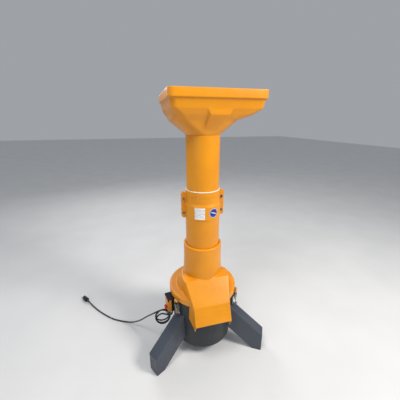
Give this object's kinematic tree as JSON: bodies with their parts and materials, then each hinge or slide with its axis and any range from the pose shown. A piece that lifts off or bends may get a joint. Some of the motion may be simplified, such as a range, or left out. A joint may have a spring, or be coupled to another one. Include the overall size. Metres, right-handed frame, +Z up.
{
  "type": "electric fruit mill",
  "caption": "Upright electric fruit mill with tray hopper, tall feed tube, domed cutter cover with discharge chute, and a motor drum on splayed legs.",
  "frame": {"origin": "middle of the bounding box on the floor, without the mains lead; the feed tube's axis stands in front of it", "axes": "+Z up, -Y the front where the chute discharges, +X to the right seen from the front's camera side"},
  "size_m": [1.1026, 0.7357, 1.356],
  "materials": {
    "orange_plastic": "satin moulded",
    "black_plastic": "fine grain moulded",
    "white_seal": "smooth",
    "seal_rubber": "matte",
    "zinc_steel": "bright zinc",
    "stainless": "brushed",
    "cast_alloy": "cast",
    "core_steel": "laminated",
    "label_white": "printed film",
    "label_blue": "printed film",
    "flap_plastic": "satin moulded",
    "red_plastic": "gloss",
    "green_plastic": "gloss",
    "cord_rubber": "matte",
    "plug_brass": "bright"
  },
  "bodies": {
    "machine": {"hopper": "orange_plastic", "upper_tube": "orange_plastic", "lower_tube": "orange_plastic", "seal_ring": "white_seal", "clamp_front": "orange_plastic", "clamp_rear": "orange_plastic", "clamp_bolts": "zinc_steel", "clamp_nuts": "zinc_steel", "rating_plate": "label_white", "round_badge": "label_blue", "mill_cover": "orange_plastic", "cover_sleeve": "orange_plastic", "cover_seal": "seal_rubber", "base_drum": "black_plastic", "bottom_plate": "black_plastic", "bottom_screws": "zinc_steel", "leg_left": "black_plastic", "foot_left": "seal_rubber", "leg_right": "black_plastic", "foot_right": "seal_rubber", "leg_rear": "black_plastic", "foot_rear": "seal_rubber", "leg_bolts": "zinc_steel", "chamber_floor": "stainless", "floor_screws": "zinc_steel", "motor_bolts": "zinc_steel", "motor_housing": "cast_alloy", "upper_bearing": "stainless", "shaft_seal": "seal_rubber", "motor_cap": "cast_alloy", "lower_bearing": "stainless", "stator": "core_steel", "fan_cover": "black_plastic", "terminal_box": "black_plastic", "switch_box": "black_plastic", "cord_gland": "cord_rubber", "cord_hook": "zinc_steel", "cord_hank": "cord_rubber", "mains_cord": "cord_rubber", "plug_body": "cord_rubber", "plug_pins": "plug_brass", "latch_plate_left": "zinc_steel", "latch_plate_right": "zinc_steel", "latch_plate_rear": "zinc_steel"},
    "rotor": {"motor_shaft": "stainless", "rotor_core": "core_steel", "cooling_fan": "black_plastic", "cutter_disc": "stainless", "cross_blade": "stainless", "edge_knives": "stainless", "cutter_nut": "stainless"},
    "flap": {"switch_flap": "flap_plastic"},
    "knob": {"stop_knob": "red_plastic"},
    "stop": {"stop_button": "red_plastic"},
    "start": {"start_button": "green_plastic"},
    "lever_left": {"latch_lever_left": "zinc_steel"},
    "bail_left": {"latch_bail_left": "zinc_steel"},
    "lever_right": {"latch_lever_right": "zinc_steel"},
    "bail_right": {"latch_bail_right": "zinc_steel"},
    "lever_rear": {"latch_lever_rear": "zinc_steel"},
    "bail_rear": {"latch_bail_rear": "zinc_steel"}
  },
  "joints": [
    {"name": "rotor_spin", "type": "hinge", "parent": "machine", "child": "rotor", "pos_m": [0, -0.0635, 0.3], "axis": [0, 0, 1], "continuous": true},
    {"name": "lever_left_hinge", "type": "hinge", "parent": "machine", "child": "lever_left", "pos_m": [-0.16368, -0.158, 0.322], "axis": [-0.5, 0.866, 0], "range_deg": [0, 125]},
    {"name": "bail_left_hinge", "type": "hinge", "parent": "lever_left", "child": "bail_left", "pos_m": [-0.16368, -0.158, 0.308], "axis": [-0.5, 0.866, 0], "range_deg": [-143.75, 0]},
    {"name": "lever_right_hinge", "type": "hinge", "parent": "machine", "child": "lever_right", "pos_m": [0.16368, -0.158, 0.322], "axis": [-0.5, -0.866, 0], "range_deg": [0, 125]},
    {"name": "bail_right_hinge", "type": "hinge", "parent": "lever_right", "child": "bail_right", "pos_m": [0.16368, -0.158, 0.308], "axis": [-0.5, -0.866, 0], "range_deg": [-143.75, 0]},
    {"name": "lever_rear_hinge", "type": "hinge", "parent": "machine", "child": "lever_rear", "pos_m": [0, 0.1255, 0.322], "axis": [1, 0, 0], "range_deg": [0, 125]},
    {"name": "bail_rear_hinge", "type": "hinge", "parent": "lever_rear", "child": "bail_rear", "pos_m": [0, 0.1255, 0.308], "axis": [1, 0, 0], "range_deg": [-143.75, 0]},
    {"name": "flap_hinge", "type": "hinge", "parent": "machine", "child": "flap", "pos_m": [-0.20741, -0.09635, 0.3275], "axis": [-0.1564, 0.9877, 0], "range_deg": [0, 90]},
    {"name": "knob_press", "type": "slide", "parent": "flap", "child": "knob", "axis": [0.9877, 0.1564, 0], "range_m": [0, 0.003], "stiffness_N_per_m": 400},
    {"name": "stop_press", "type": "slide", "parent": "machine", "child": "stop", "axis": [0.9877, 0.1564, 0], "range_m": [0, 0.0025], "stiffness_N_per_m": 400},
    {"name": "start_press", "type": "slide", "parent": "machine", "child": "start", "axis": [0.9877, 0.1564, 0], "range_m": [0, 0.0025], "stiffness_N_per_m": 400}
  ],
  "couplings": [
    {"joint": "bail_left_hinge", "follows": "lever_left_hinge", "ratio": -1.15},
    {"joint": "bail_right_hinge", "follows": "lever_right_hinge", "ratio": -1.15},
    {"joint": "bail_rear_hinge", "follows": "lever_rear_hinge", "ratio": -1.15}
  ]
}
